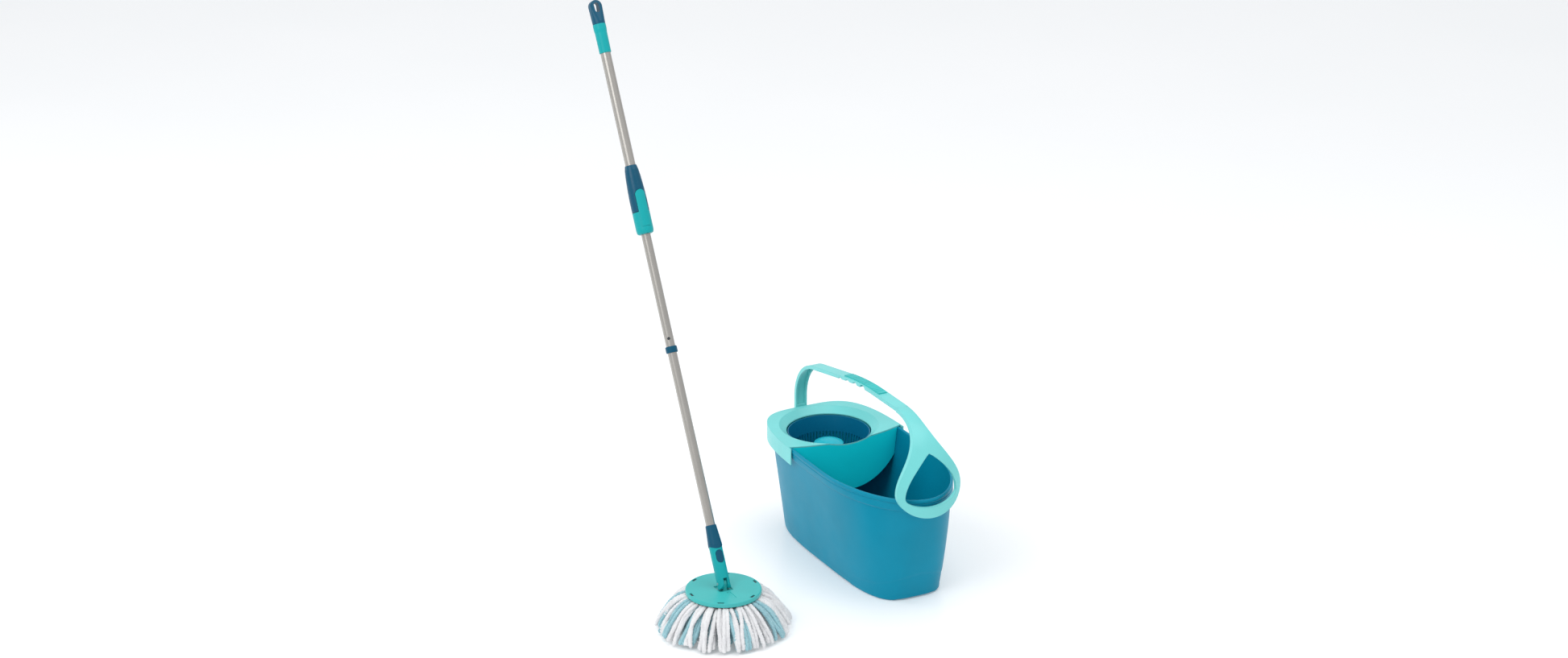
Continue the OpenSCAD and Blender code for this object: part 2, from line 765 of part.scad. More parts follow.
module neck() {
    slot_half = lug_w / 2 + fork_gap;
    color(aqua) on_handle() difference() {
        union() {
            cylinder(h = neck_len, r = neck_r);
            intersection() {
                translate([0, 0, -neck_r]) cylinder(h = neck_r + 1, r = neck_r);
                rotate([90, 0, 0]) cylinder(h = 3 * neck_r, r = pivot_up + 1, center = true);
            }
        }
        translate([-50, -slot_half, -50]) cube([100, 2 * slot_half, 50 + lug_r + 1.5]);
        rotate([90, 0, 0]) cylinder(h = 40, r = tilt_pin_r + snug, center = true);
        translate([0, 0, tube_bottom]) cylinder(h = neck_len, r = tube_r + snug);
        stadium_x(5, 20, button_at, button_l + 0.8, button_w + 0.8);
    }
}

module neck_sleeve() {
    top_r = neck_r - 2.4;
    low_r = neck_r + 1;
    dip = 6;                                      // the lower edge hangs down at front and back
    drop_r = 22;
    color(navy) on_handle() intersection() {
        translate([0, 0, neck_len]) rotate_extrude() polygon([
            [neck_r + snug, -dip], [low_r, -dip], [low_r, 3], [top_r, sleeve_len - 1], [top_r - 1, sleeve_len],
            [tube_r + snug, sleeve_len], [tube_r + snug, 0], [neck_r + snug, 0]]);
        union() {
            translate([-50, 0, neck_len - dip + drop_r]) rotate([0, 90, 0]) cylinder(h = 100, r = drop_r);
            translate([-50, -50, neck_len - dip + drop_r]) cube([100, 100, sleeve_len]);
        }
    }
}

module release_button() {
    face = neck_r + 0.8;
    base = tube_r + 0.4 + button_travel;
    color(navy) on_handle() intersection() {
        difference() {
            stadium_x(base, 20, button_at, button_l, button_w);
            translate([0, 0, button_at]) rotate([0, 90, 0]) cylinder(h = base + 1, r = 3 + snug);
        }
        cylinder(h = 2 * neck_len, r = face);
    }
}

module latch_pin() {
    head = tube_r - tube_t - 1.7;
    base = tube_r + 0.4 + button_travel;
    color(steel) on_handle() translate([0, 0, button_at]) rotate([0, 90, 0]) {
        translate([0, 0, head - 1]) cylinder(h = 1, r = 4.6);
        translate([0, 0, head - eps]) cylinder(h = base + 1 - head, r = 3);
    }
}

module latch_spring() {
    front = tube_r - tube_t - 2.7 - button_travel - clear;
    color(steel) on_handle() v_spring(button_at, -tube_r + tube_t + 1, front, 6);
}

module lower_tube() {
    color(steel) on_handle() difference() {
        pipe(tube_bottom, joint_at, tube_r, tube_r - tube_t);
        translate([0, 0, button_at]) rotate([0, 90, 0]) cylinder(h = 20, r = 3.3);
    }
}

module joint_ring() {
    lip = 1.2;
    color(navy) on_handle() translate([0, 0, joint_at - ring_h / 2]) rotate_extrude() polygon([
        [tube_r + snug, 0], [ring_r - lip, 0], [ring_r, lip],
        [ring_r, ring_h - lip], [ring_r - lip, ring_h], [tube_r + snug, ring_h]]);
}

module tube_spigot() {
    outer = tube_r - tube_t - snug;
    color([0.25, 0.27, 0.3]) on_handle() difference() {
        pipe(joint_at - 40, joint_at + 50, outer, outer - 2.5);
        at_snap() cylinder(h = 20, r = 3.3);
    }
}

module at_snap() {
    translate([0, 0, snap_at]) rotate([0, 0, snap_turn]) rotate([0, 90, 0]) children();
}

module snap_button() {
    flange = tube_r - tube_t - 5.2;
    color([0.15, 0.17, 0.2]) on_handle() at_snap() {
        translate([0, 0, flange]) cylinder(h = 1, r = 3.9);
        translate([0, 0, flange]) cylinder(h = tube_r + 0.2 - flange, r = 3);
        translate([0, 0, tube_r + 0.2 - eps]) cylinder(h = 0.6, r1 = 3, r2 = 2.2);
    }
}

module snap_spring() {
    inner = tube_r - tube_t - 2.6;
    front = tube_r - tube_t - 5.2 - snap_travel - clear;
    color(steel) on_handle() rotate([0, 0, snap_turn]) v_spring(snap_at, -inner + 1, front, 5);
}

module middle_tube() {
    color(steel) on_handle() difference() {
        pipe(joint_at, middle_top, tube_r, tube_r - tube_t);
        at_snap() cylinder(h = 20, r = 3.3);
    }
}

module drive_nut() {
    outer = tube_r - tube_t - snug;
    bore = rod_w / 2 + rod_room;
    color([0.9, 0.85, 0.7]) on_handle() {
        difference() {
            pipe(nut_bottom, nut_top, outer, bore);
            clutch_teeth(nut_bottom - 1, 4);
        }
        // plate whose slot the flat rod twists through
        difference() {
            translate([0, 0, nut_top - slot_plate]) cylinder(h = slot_plate, r = bore + 1);
            translate([0, 0, nut_top - slot_plate / 2]) rotate([0, 0, rod_turn(nut_top - slot_plate / 2)])
                cube([rod_w + 2 * slot_room, rod_t + 2 * slot_room, 2 * slot_plate], center = true);
        }
    }
}

// Angle of the twisted rod at a place along the handle
function rod_turn(at) = 360 * (at - rod_bottom) / rod_pitch;

// Eight square teeth of the one-way clutch
module clutch_teeth(z, h) {
    for (i = [0 : 7]) rotate([0, 0, 45 * i]) translate([5, -1.2, z]) cube([10, 2.4, h]);
}

module clutch_ring() {
    outer = tube_r - tube_t - snug;
    bore = rod_w / 2 + rod_room;
    color([0.35, 0.37, 0.4]) on_handle() difference() {
        pipe(clutch_bottom, clutch_bottom + clutch_len, outer, bore);
        clutch_teeth(clutch_bottom + clutch_len - 3, 4);
    }
}

// Round wire wound to a helix
module coil(z0, z1, r, wire, turns) {
    steps = 14;
    sides = 8;
    n = turns * steps;
    loft([for (i = [0 : n]) let (t = -360 * i / steps, z = mix(z0 + wire, z1 - wire, i / n))
        [for (k = [0 : sides - 1]) let (a = 360 * k / sides, q = r + wire * cos(a))
            [q * cos(t), q * sin(t), z + wire * sin(a)]]]);
}

module clutch_spring() {
    color(steel) on_handle() coil(clutch_bottom - 22, clutch_bottom, 7.6, 0.6, 5);
}

// ---------- push drive and upper handle ----------

module guide_bush() {
    bore = rod_w / 2 + rod_room;
    color([0.9, 0.9, 0.88]) on_handle() union() {
        pipe(middle_top + clear, middle_top + bush_flange, upper_r - upper_t - slip, bore);
        pipe(nut_top + clear, middle_top + clear + eps, tube_r - tube_t - slip, bore);
    }
}

module upper_tube() {
    color(steel) on_handle() difference() {
        pipe(upper_bottom, cap_bottom + 5, upper_r, upper_r - upper_t);
        translate([0, 0, rivet_at]) rotate([90, 0, 0]) cylinder(h = 60, r = rivet_r + snug, center = true);
    }
}

module twist_rod() {
    length = anchor_bottom + 8 - rod_bottom;
    color([0.75, 0.76, 0.78]) on_handle() translate([0, 0, rod_bottom])
        linear_extrude(length, twist = -rod_turn(rod_bottom + length), slices = 120, $fn = 8)
        square([sqrt(rod_w * rod_w - rod_t * rod_t), rod_t], center = true);
}

module rod_anchor() {
    color([0.3, 0.32, 0.35]) on_handle() difference() {
        translate([0, 0, anchor_bottom]) cylinder(h = anchor_len, r = upper_r - upper_t - snug);
        translate([0, 0, anchor_bottom - 1]) cylinder(h = 9, r = rod_w / 2 + snug);
        translate([0, 0, rivet_at]) rotate([90, 0, 0]) cylinder(h = 60, r = rivet_r + snug, center = true);
    }
}

module anchor_rivet() {
    color(steel) on_handle() translate([0, 0, rivet_at]) rotate([90, 0, 0])
        cylinder(h = 2 * upper_r - 0.5, r = rivet_r, center = true);
}

module top_sleeve() {
    low_r = upper_r + 1.75;
    top_r = upper_r + 3.05;
    color(aqua) on_handle() translate([0, 0, sleeve_bottom]) rotate_extrude() polygon([
        [upper_r + snug, 0], [low_r - 0.5, 0], [low_r, 0.6], [low_r + 0.4, top_len * 0.7],
        [top_r, top_len * 0.82], [top_r, top_len - 2], [top_r - 0.6, top_len], [upper_r + snug, top_len]]);
}

module hang_cap() {
    base_r = upper_r + 2.65;
    tip_t = 12;
    color(navy) on_handle() difference() {
        translate([0, 0, cap_bottom]) hull() {
            cylinder(h = 6, r = base_r, $fn = 40);
            translate([0, 0, cap_len - base_r]) rotate([90, 0, 90])
                cylinder(h = tip_t, r = base_r, center = true, $fn = 40);
        }
        // hanging eye
        stadium_x(-20, 20, cap_bottom + cap_len - 17, 22, 11);
        // seat on the tube
        translate([0, 0, cap_bottom - 1]) cylinder(h = 7, r = upper_r + snug);
    }
}

// Outline of the thumb tongue, grown all round
module tongue_cut(grow) {
    tongue_w = 22;
    top = lock_bottom + lock_len + tongue_len;
    stadium_x(2, 40, top - tongue_len, 2 * tongue_len + 2 * grow, tongue_w + 2 * grow);
}

module grip_shell() {
    len = shell_len;
    color(navy) on_handle() difference() {
        translate([0, 0, shell_bottom]) rotate_extrude() polygon([
            [upper_r + snug, 0], [grip_r - 0.4, 0], [grip_r, 0.6], [grip_r, len * 0.25],
            [grip_r - 0.8, len * 0.5], [grip_r - 2.4, len * 0.75], [grip_r - 4, len * 0.9],
            [grip_r - 5.6, len * 0.97], [grip_r - 6.4, len], [upper_r + snug, len]]);
        intersection() {
            tongue_cut(notch_gap);
            difference() {
                cylinder(h = 2000, r = 50);
                translate([0, 0, -1]) cylinder(h = 2002, r = lock_core_r + slip - 0.5);
            }
        }
    }
}

module grip_bush() {
    color([0.25, 0.27, 0.3]) on_handle() difference() {
        translate([0, 0, upper_bottom - 10]) cylinder(h = 26, r = lock_core_r);
        translate([0, 0, upper_bottom - 11]) cylinder(h = 30, r = tube_r + slip);
        translate([0, 0, upper_bottom]) cylinder(h = 30, r = upper_r + snug);
    }
}

module grip_lock() {
    sleeve_r = lock_core_r + slip;
    top = shell_bottom - 1;
    color(aqua) on_handle() union() {
        rotate_extrude() polygon([
            [tube_r + 0.5, lock_bottom], [grip_r - 4.5, lock_bottom], [grip_r - 2, lock_bottom + 1.4],
            [grip_r - 0.6, lock_bottom + 4.5], [grip_r, lock_bottom + 9], [grip_r, top],
            [sleeve_r, top], [sleeve_r, lock_bottom + 11], [tube_r + 0.5, lock_bottom + 11]]);
        intersection() {
            tongue_cut(0);
            pipe(lock_bottom + 16, top + tongue_len, grip_r + 0.8, lock_core_r + slip);
        }
    }
}

// ---------- drawing ----------

bucket_shell();
basket_cradle();
wringing_bowl();
cradle_axle();
thrust_washer();
axle_clip();
spin_basket();
basket_hub();
basket_bush();
carry_handle();
grip_pad();
hinge_pin();
head_plate();
fringe_carrier();
carrier_screws();
mop_fringe();
tilt_pin();
neck();
neck_sleeve();
release_button();
latch_pin();
latch_spring();
lower_tube();
joint_ring();
tube_spigot();
snap_button();
snap_spring();
middle_tube();
drive_nut();
clutch_ring();
clutch_spring();
guide_bush();
upper_tube();
twist_rod();
rod_anchor();
anchor_rivet();
top_sleeve();
hang_cap();
grip_shell();
grip_bush();
grip_lock();
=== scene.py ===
"""Looks of the spin mop set: a push-handle mop beside the bucket that holds its spin basket.

Everything is in metres in the CAD frame: +Z up, +X along the bucket towards its nose,
the mop on the -Y side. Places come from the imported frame; sizes of the bucket that the
frame can't give, such as its base outline and its wall, are named below.
"""

import json
import math
import random

import bpy
from mathutils import Matrix, Vector, noise


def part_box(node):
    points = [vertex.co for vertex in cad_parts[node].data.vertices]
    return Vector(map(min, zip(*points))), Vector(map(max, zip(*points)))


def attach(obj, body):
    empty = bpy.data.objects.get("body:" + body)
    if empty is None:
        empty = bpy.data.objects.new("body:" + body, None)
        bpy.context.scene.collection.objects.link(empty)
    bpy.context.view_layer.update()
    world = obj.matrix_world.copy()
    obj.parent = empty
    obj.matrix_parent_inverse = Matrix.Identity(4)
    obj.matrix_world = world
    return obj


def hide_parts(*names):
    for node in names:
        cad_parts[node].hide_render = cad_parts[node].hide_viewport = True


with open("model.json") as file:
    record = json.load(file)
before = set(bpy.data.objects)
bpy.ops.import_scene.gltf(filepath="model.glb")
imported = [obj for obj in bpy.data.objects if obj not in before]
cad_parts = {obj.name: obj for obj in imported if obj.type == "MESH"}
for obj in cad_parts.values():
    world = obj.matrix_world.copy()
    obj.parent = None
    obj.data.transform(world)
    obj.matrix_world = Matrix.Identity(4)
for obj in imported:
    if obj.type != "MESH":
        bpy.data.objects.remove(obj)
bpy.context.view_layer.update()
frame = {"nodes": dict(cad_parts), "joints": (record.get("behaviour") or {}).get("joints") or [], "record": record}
MM = 0.001


# ---------------------------------------------------------------- node helpers

def new_material(name):
    """A material with a principled shader; returns it, its node tree and the shader."""
    mat = bpy.data.materials.new(name)
    mat.use_nodes = True
    tree = mat.node_tree
    return mat, tree, tree.nodes["Principled BSDF"]


def add(tree, kind, **sockets):
    """Adds a node and sets its unlinked inputs by name."""
    node = tree.nodes.new(kind)
    for key, value in sockets.items():
        node.inputs[key.replace("_", " ")].default_value = value
    return node


def object_coords(tree, rotation=(0, 0, 0), scale=(1, 1, 1)):
    coords = tree.nodes.new("ShaderNodeTexCoord")
    mapping = tree.nodes.new("ShaderNodeMapping")
    mapping.inputs["Rotation"].default_value = rotation
    mapping.inputs["Scale"].default_value = scale
    tree.links.new(coords.outputs["Object"], mapping.inputs["Vector"])
    return mapping.outputs["Vector"]


def noise_value(tree, vector, scale, detail=3.0, roughness=0.5):
    node = add(tree, "ShaderNodeTexNoise", Scale=scale, Detail=detail, Roughness=roughness)
    tree.links.new(vector, node.inputs["Vector"])
    return node.outputs["Fac"]


def ramp(tree, fac, stops):
    node = tree.nodes.new("ShaderNodeValToRGB")
    elements = node.color_ramp.elements
    while len(elements) < len(stops):
        elements.new(0.5)
    for element, (place, colour) in zip(elements, stops):
        element.position = place
        element.color = colour
    tree.links.new(fac, node.inputs["Fac"])
    return node.outputs["Color"]


def remap(tree, fac, low, high):
    node = tree.nodes.new("ShaderNodeMapRange")
    node.inputs["To Min"].default_value = low
    node.inputs["To Max"].default_value = high
    tree.links.new(fac, node.inputs["Value"])
    return node.outputs["Result"]


def bump(tree, height, strength, distance, under=None):
    node = tree.nodes.new("ShaderNodeBump")
    node.inputs["Strength"].default_value = strength
    node.inputs["Distance"].default_value = distance
    tree.links.new(height, node.inputs["Height"])
    if under:
        tree.links.new(under, node.inputs["Normal"])
    return node.outputs["Normal"]


def shade(rgb, factor):
    return tuple(min(1.0, c * factor) for c in rgb) + (1.0,)


# ---------------------------------------------------------------- materials

def moulded_plastic(name, rgb, roughness, edge, coat=0.1, specular=0.38):
    """Injection-moulded plastic: cloudy pigment, faint flow, fine spark grain and a few scuffs."""
    mat, tree, shader = new_material(name)
    where = object_coords(tree)
    cloud = noise_value(tree, where, 9.0, 4.0)
    base = ramp(tree, cloud, [(0.25, shade(rgb, 0.93)), (0.75, shade(rgb, 1.05))])
    scuff = noise_value(tree, object_coords(tree, scale=(1.0, 0.35, 2.4)), 160.0, 6.0, 0.7)
    scuff_mask = ramp(tree, scuff, [(0.66, (0, 0, 0, 1)), (0.78, (1, 1, 1, 1))])
    mix = tree.nodes.new("ShaderNodeMix")
    mix.data_type = "RGBA"
    tree.links.new(remap(tree, scuff_mask, 0.0, 0.10), mix.inputs[0])
    tree.links.new(base, mix.inputs[6])
    mix.inputs[7].default_value = tuple(0.5 + 0.5 * c for c in rgb) + (1.0,)
    tree.links.new(mix.outputs[2], shader.inputs["Base Color"])
    patch = noise_value(tree, where, 26.0, 3.0)
    tree.links.new(remap(tree, patch, roughness - 0.05, roughness + 0.08), shader.inputs["Roughness"])
    spark = noise_value(tree, where, 1900.0, 2.0)
    under = None
    if edge:
        bevel = add(tree, "ShaderNodeBevel", Radius=edge)
        bevel.samples = 6
        under = bevel.outputs["Normal"]
    wave = bump(tree, noise_value(tree, where, 34.0, 1.0), 0.10, 0.8 * MM, under)
    tree.links.new(bump(tree, spark, 0.25, 0.05 * MM, wave), shader.inputs["Normal"])
    shader.inputs["Coat Weight"].default_value = coat
    shader.inputs["Coat Roughness"].default_value = 0.12
    shader.inputs["Specular IOR Level"].default_value = specular
    return mat


def soft_rubber(name, rgb):
    """Soft-touch pad: matt, with a fine leathery pebble."""
    mat, tree, shader = new_material(name)
    where = object_coords(tree)
    cloud = noise_value(tree, where, 30.0, 4.0)
    base = ramp(tree, cloud, [(0.3, shade(rgb, 0.88)), (0.7, shade(rgb, 1.08))])
    tree.links.new(base, shader.inputs["Base Color"])
    cells = add(tree, "ShaderNodeTexVoronoi", Scale=1300.0)
    tree.links.new(where, cells.inputs["Vector"])
    bevel = add(tree, "ShaderNodeBevel", Radius=0.6 * MM)
    normal = bump(tree, cells.outputs["Distance"], 0.35, 0.12 * MM, bevel.outputs["Normal"])
    tree.links.new(normal, shader.inputs["Normal"])
    shader.inputs["Roughness"].default_value = 0.62
    shader.inputs["Sheen Weight"].default_value = 0.15
    return mat


def drawn_steel(name, rgb, lean=0.0, roughness=0.34, metallic=0.85):
    """Lacquered steel tube: long drawing lines along the tube and a cloudy lacquer."""
    mat, tree, shader = new_material(name)
    along = object_coords(tree, rotation=(0, lean, 0), scale=(1.0, 1.0, 0.012))
    lines = noise_value(tree, along, 1500.0, 4.0, 0.65)
    cloud = noise_value(tree, object_coords(tree), 14.0, 3.0)
    base = ramp(tree, lines, [(0.3, shade(rgb, 0.86)), (0.7, shade(rgb, 1.12))])
    tint = tree.nodes.new("ShaderNodeMix")
    tint.data_type = "RGBA"
    tint.blend_type = "MULTIPLY"
    tint.inputs[0].default_value = 0.6
    tree.links.new(base, tint.inputs[6])
    tree.links.new(ramp(tree, cloud, [(0.3, (0.9, 0.9, 0.9, 1)), (0.7, (1, 1, 1, 1))]), tint.inputs[7])
    tree.links.new(tint.outputs[2], shader.inputs["Base Color"])
    tree.links.new(remap(tree, lines, roughness - 0.08, roughness + 0.1), shader.inputs["Roughness"])
    tree.links.new(bump(tree, lines, 0.25, 0.03 * MM), shader.inputs["Normal"])
    shader.inputs["Metallic"].default_value = metallic
    return mat


def plain_metal(name, rgb, roughness=0.28):
    """Plated small steel: faint turning marks and a slightly uneven polish."""
    mat, tree, shader = new_material(name)
    where = object_coords(tree)
    marks = noise_value(tree, object_coords(tree, scale=(1, 1, 12)), 700.0, 3.0)
    base = ramp(tree, marks, [(0.3, shade(rgb, 0.85)), (0.7, shade(rgb, 1.1))])
    tree.links.new(base, shader.inputs["Base Color"])
    polish = noise_value(tree, where, 220.0)
    tree.links.new(remap(tree, polish, roughness - 0.08, roughness + 0.12), shader.inputs["Roughness"])
    bevel = add(tree, "ShaderNodeBevel", Radius=0.3 * MM)
    tree.links.new(bump(tree, marks, 0.15, 0.02 * MM, bevel.outputs["Normal"]), shader.inputs["Normal"])
    shader.inputs["Metallic"].default_value = 1.0
    return mat


def nylon(name, rgb, roughness=0.45):
    """Natural nylon: waxy, a little translucent, with faint tool marks."""
    mat, tree, shader = new_material(name)
    where = object_coords(tree)
    cloud = noise_value(tree, where, 60.0, 4.0)
    base = ramp(tree, cloud, [(0.3, shade(rgb, 0.92)), (0.7, shade(rgb, 1.04))])
    tree.links.new(base, shader.inputs["Base Color"])
    tree.links.new(remap(tree, cloud, roughness - 0.06, roughness + 0.08), shader.inputs["Roughness"])
    bevel = add(tree, "ShaderNodeBevel", Radius=0.4 * MM)
    normal = bump(tree, noise_value(tree, where, 1200.0), 0.2, 0.05 * MM, bevel.outputs["Normal"])
    tree.links.new(normal, shader.inputs["Normal"])
    shader.inputs["Subsurface Weight"].default_value = 0.1
    shader.inputs["Subsurface Radius"].default_value = (0.002, 0.002, 0.002)
    return mat


def chenille(name, rgb, tuft_gap_shade):
    """Chenille yarn: short pile in tufts, shaded between the tufts, with a soft sheen."""
    mat, tree, shader = new_material(name)
    where = object_coords(tree)
    tufts = add(tree, "ShaderNodeTexVoronoi", Scale=620.0)
    tree.links.new(where, tufts.inputs["Vector"])
    pile = noise_value(tree, where, 1500.0, 5.0, 0.7)
    cloud = noise_value(tree, where, 45.0, 3.0)
    # the second colour given to this material is painted shade: the hollows between the tufts are darkened to
    # stand in for shade
    base = ramp(tree, tufts.outputs["Distance"], [(0.15, shade(rgb, 1.04)), (0.85, shade(tuft_gap_shade, 1.0))])
    tint = tree.nodes.new("ShaderNodeMix")
    tint.data_type = "RGBA"
    tint.blend_type = "MULTIPLY"
    tint.inputs[0].default_value = 1.0
    tree.links.new(base, tint.inputs[6])
    tree.links.new(ramp(tree, cloud, [(0.3, (0.9, 0.9, 0.91, 1)), (0.65, (1, 1, 1, 1))]), tint.inputs[7])
    tree.links.new(tint.outputs[2], shader.inputs["Base Color"])
    height = tree.nodes.new("ShaderNodeMath")
    height.operation = "SUBTRACT"
    tree.links.new(pile, height.inputs[0])
    tree.links.new(tufts.outputs["Distance"], height.inputs[1])
    tree.links.new(bump(tree, height.outputs[0], 0.65, 1.0 * MM), shader.inputs["Normal"])
    shader.inputs["Roughness"].default_value = 0.92
    shader.inputs["Sheen Weight"].default_value = 0.6
    shader.inputs["Sheen Roughness"].default_value = 0.45
    shader.inputs["Specular IOR Level"].default_value = 0.2
    shader.inputs["Subsurface Weight"].default_value = 0.12
    shader.inputs["Subsurface Radius"].default_value = (0.004, 0.004, 0.004)
    return mat


handle_axis = Vector(next(j for j in frame["joints"] if j["name"] == "handle_spin")["axis"])
LEAN = math.atan2(handle_axis.x, -handle_axis.z)      # angle between the handle and the vertical

BUCKET_RGB = (0.000, 0.258, 0.395)
MINT_RGB = (0.185, 0.690, 0.680)
PLATE_RGB = (0.050, 0.500, 0.490)
# painted shade: the wringing bowl is the same mint plastic, coloured the saturated turquoise that mint shows in
# shade
BOWL_PAINTED_SHADE_RGB = (0.005, 0.780, 0.850)
BASKET_RGB = (0.000, 0.165, 0.310)
HUB_RGB = (0.010, 0.520, 0.640)
AQUA_RGB = (0.004, 0.370, 0.390)
NAVY_RGB = (0.000, 0.080, 0.150)

MATERIALS = {
    "bucket_blue": moulded_plastic("bucket_blue", BUCKET_RGB, 0.38, 0, coat=0.0, specular=0.15),
    "mint": moulded_plastic("mint_plastic", MINT_RGB, 0.34, 1.6 * MM),
    "aqua": moulded_plastic("aqua_plastic", AQUA_RGB, 0.36, 0.9 * MM, coat=0.0, specular=0.25),
    # the wringing bowl's copy of mint, with painted shade in its colour
    "bowl_painted_shade": moulded_plastic("bowl_plastic_painted_shade", BOWL_PAINTED_SHADE_RGB, 0.38, 1.2 * MM, coat=0.0, specular=0.2),
    "basket_teal": moulded_plastic("basket_plastic", BASKET_RGB, 0.32, 0.8 * MM),
    "hub_blue": moulded_plastic("hub_plastic", HUB_RGB, 0.34, 1.2 * MM),
    "aqua_pale": moulded_plastic("pale_aqua_plastic", PLATE_RGB, 0.36, 1.2 * MM),
    "dark_teal": moulded_plastic(
        "dark_teal_plastic", NAVY_RGB, 0.34, 0.8 * MM, coat=0.05, specular=0.25),
    "soft_pad": soft_rubber("soft_pad", (0.020, 0.520, 0.510)),
    "steel_tube": drawn_steel("steel_tube", (0.46, 0.44, 0.41), lean=LEAN),
    "steel_small": plain_metal("steel_small", (0.60, 0.60, 0.60)),
    "white_nylon": nylon("white_nylon", (0.80, 0.80, 0.78)),
    "dark_nylon": nylon("dark_nylon", (0.03, 0.035, 0.045)),
    "microfibre": chenille("white_chenille", (0.96, 0.955, 0.96), (0.84, 0.84, 0.85)),
}
# nodes given their own shade of their slot's colour: the head plate, basket and hub differ a little in tint from
# the rest of their slot; the wringing bowl's is painted shade, the saturated turquoise that the same mint plastic
# shows in shade
OWN_TINTS_AND_PAINTED_SHADE = {
    "head_plate": "aqua_pale", "wringing_bowl": "bowl_painted_shade",
    "spin_basket": "basket_teal", "basket_hub": "hub_blue",
}
BLUE_YARN = chenille("blue_chenille", (0.46, 0.74, 0.79), (0.26, 0.52, 0.60))


def dress_cad_nodes():
    """Gives every carried-over CAD node its slot's material, or its own shade of it."""
    slots = {part["node"]: part["material_slot"] for part in frame["record"]["subparts"]}
    for name, obj in frame["nodes"].items():
        material = MATERIALS[OWN_TINTS_AND_PAINTED_SHADE.get(name, slots[name])]
        if not obj.material_slots:
            obj.data.materials.append(material)
        for slot in obj.material_slots:
            slot.material = material


# ---------------------------------------------------------------- mesh helpers

def make_object(name, verts, faces, material, body):
    """A smooth mesh of one material that rides on a body."""
    mesh = bpy.data.meshes.new(name)
    mesh.from_pydata([tuple(v) for v in verts], [], faces)
    mesh.update()
    mesh.materials.append(material)
    for poly in mesh.polygons:
        poly.use_smooth = True
    obj = bpy.data.objects.new(name, mesh)
    bpy.context.collection.objects.link(obj)
    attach(obj, body)
    return obj


def skin(rings):
    """Quads between closed rings that have the same number of points."""
    n = len(rings[0])
    verts = [p for ring in rings for p in ring]
    faces = []
    for i in range(len(rings) - 1):
        for j in range(n):
            a, b = i * n + j, i * n + (j + 1) % n
            faces.append((a, b, b + n, a + n))
    return verts, faces


def smoothstep(a, b, x):
    t = min(1.0, max(0.0, (x - a) / (b - a)))
    return t * t * (3 - 2 * t)


def lerp(a, b, k):
    return a + (b - a) * k


# ---------------------------------------------------------------- bucket

shell_low, shell_high = (Vector(c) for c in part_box("bucket_shell"))
BUCKET_H = shell_high.z
BAND_OUT = 4.5 * MM
RIM_MID = 66 * MM
RIM_FRONT = shell_high.x - BAND_OUT - RIM_MID
RIM_BACK = RIM_MID - shell_low.x - BAND_OUT
RIM_HALF = shell_high.y - BAND_OUT
# outlines of the base and the rim: middle, reach to the front and back, half width, exponents
BASE = dict(mid=0.0, front=250 * MM, back=264 * MM, half=98 * MM, front_n=3.6, back_n=3.2)
RIM = dict(mid=RIM_MID, front=RIM_FRONT, back=RIM_BACK, half=RIM_HALF, front_n=1.9, back_n=4.0)
WALL = 2.6 * MM
BAND_H = 28 * MM
FOOT_GAP_X = ((-150 * MM, -140 * MM), (118 * MM, 128 * MM))    # where the long sides' gap starts and ends
FOOT_GAP_HALF = (42 * MM, 52 * MM)                             # half width of the gap at the ends
PANEL_DEPTH = 1.1 * MM
PANEL_FADE = (120 * MM, 190 * MM)          # the panel comes in between these places along X
ARCH_TOP, ARCH_FALL, ARCH_HALF = 62 * MM, 30 * MM, 95 * MM     # the arched line above the panel


def outline_point(t, z, grow):
    """Point of the bucket's wall at height z: two half superellipses joined at the widest point."""
    k = z / BUCKET_H
    size = {key: lerp(BASE[key], RIM[key], k) for key in BASE}
    c, s = math.cos(t), math.sin(t)
    n = size["front_n"] if c >= 0 else size["back_n"]
    reach = (size["front"] if c >= 0 else size["back"]) + grow
    x = size["mid"] + math.copysign(reach * abs(c) ** (2 / n), c)
    y = math.copysign((size["half"] + grow) * abs(s) ** (2 / n), s)
    return x, y


def even_angles(z, count):
    """Angles that space an outline's points evenly along its length."""
    fine = 4096
    points = [outline_point(2 * math.pi * i / fine, z, 0.0) for i in range(fine + 1)]
    along = [0.0]
    for a, b in zip(points, points[1:]):
        along.append(along[-1] + math.dist(a, b))
    angles, i = [], 0
    for k in range(count):
        target = along[-1] * k / count
        while along[i + 1] < target:
            i += 1
        part = (target - along[i]) / (along[i + 1] - along[i])
        angles.append(2 * math.pi * (i + part) / fine)
    return angles


